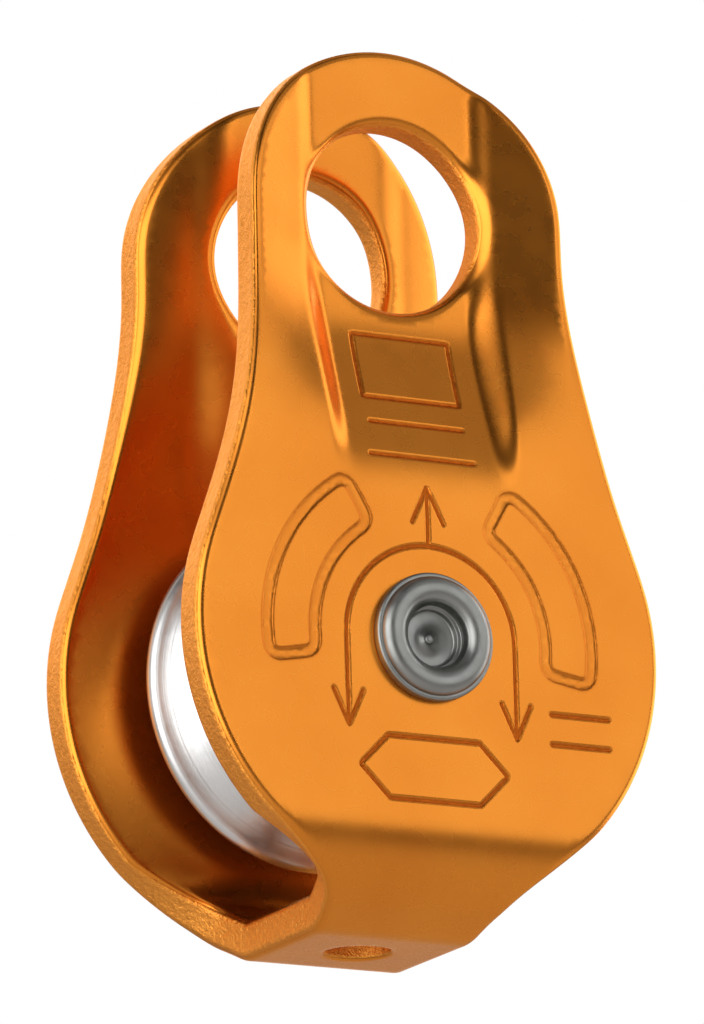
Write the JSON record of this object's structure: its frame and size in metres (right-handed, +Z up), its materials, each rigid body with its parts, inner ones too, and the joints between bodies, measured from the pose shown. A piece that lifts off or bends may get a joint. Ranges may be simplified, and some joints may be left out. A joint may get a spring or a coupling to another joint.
{
  "type": "rope pulley",
  "caption": "Small fixed-plate rope pulley: folded gold plate frame with pressed-in connector eyes, grooved sheave on a self-lubricating riveted axle.",
  "frame": {"origin": "middle of the web's outer face, on the axis of the web hole, straight below the axle", "axes": "+Z up from the web to the connector eyes, +Y along the axle towards the rear plate, +X across the plates; the front plate with the marks is at -Y"},
  "size_m": [0.0428, 0.0314, 0.0748],
  "materials": {
    "anodised_plate": "glossy gold-orange anodising with burnished edges",
    "turned_aluminium": "satin, fine turning lines in the groove",
    "bronze": "oil-filled sintered bronze, matte",
    "hard_steel": "ground",
    "rivet_steel": "pressed, slightly brushed",
    "polymer": "matte"
  },
  "bodies": {
    "frame": {"frame": "anodised_plate", "axle_sleeve": "hard_steel", "axle_rivet": "rivet_steel", "front_rivet_washer": "rivet_steel", "rear_rivet_washer": "rivet_steel"},
    "sheave": {"sheave": "turned_aluminium", "front_bush": "bronze", "rear_bush": "bronze"},
    "front_thrust_washer": {"front_thrust_washer": "polymer"},
    "rear_thrust_washer": {"rear_thrust_washer": "polymer"}
  },
  "joints": [
    {"name": "sheave_spin", "type": "hinge", "parent": "frame", "child": "sheave", "pos_m": [0, 0, 0.0234], "axis": [0, 1, 0], "continuous": true},
    {"name": "front_washer_spin", "type": "hinge", "parent": "frame", "child": "front_thrust_washer", "pos_m": [0, 0, 0.0234], "axis": [0, 1, 0], "continuous": true},
    {"name": "rear_washer_spin", "type": "hinge", "parent": "frame", "child": "rear_thrust_washer", "pos_m": [0, 0, 0.0234], "axis": [0, 1, 0], "continuous": true}
  ]
}
